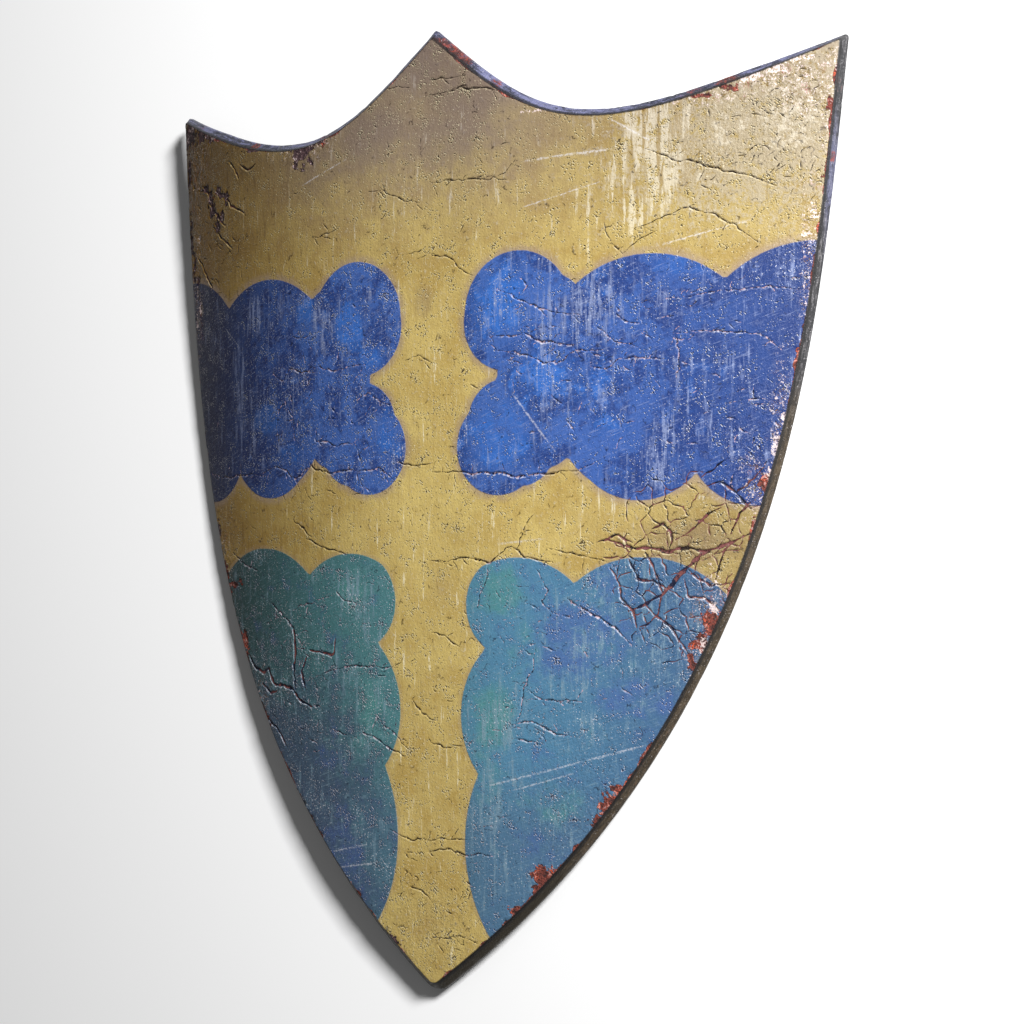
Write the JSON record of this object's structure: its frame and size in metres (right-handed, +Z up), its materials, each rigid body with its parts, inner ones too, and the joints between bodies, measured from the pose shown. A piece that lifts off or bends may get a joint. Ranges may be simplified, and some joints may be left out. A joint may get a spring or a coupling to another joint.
{
  "type": "heater shield",
  "caption": "Bent steel heater shield with a peaked, double-dipped top, a rounded point and a bevelled rim, painted blue and teal round a lobed gold cross and badly cracked.",
  "frame": {"origin": "on the floor, under the middle of the lying board's bounding box", "axes": "+Z up, out of the painted face; +Y from the point towards the centre peak; +X to the right as the face is seen with its peak up"},
  "size_m": [0.6394, 0.756, 0.0925],
  "materials": {
    "painted_steel": "aged satin paint, cracked and scuffed, with rust under the chips",
    "bare_steel": "dark worn steel with brown and orange rust, on the bevelled rim and the back"
  },
  "bodies": {
    "root": {"shield": "painted_steel"}
  },
  "joints": []
}
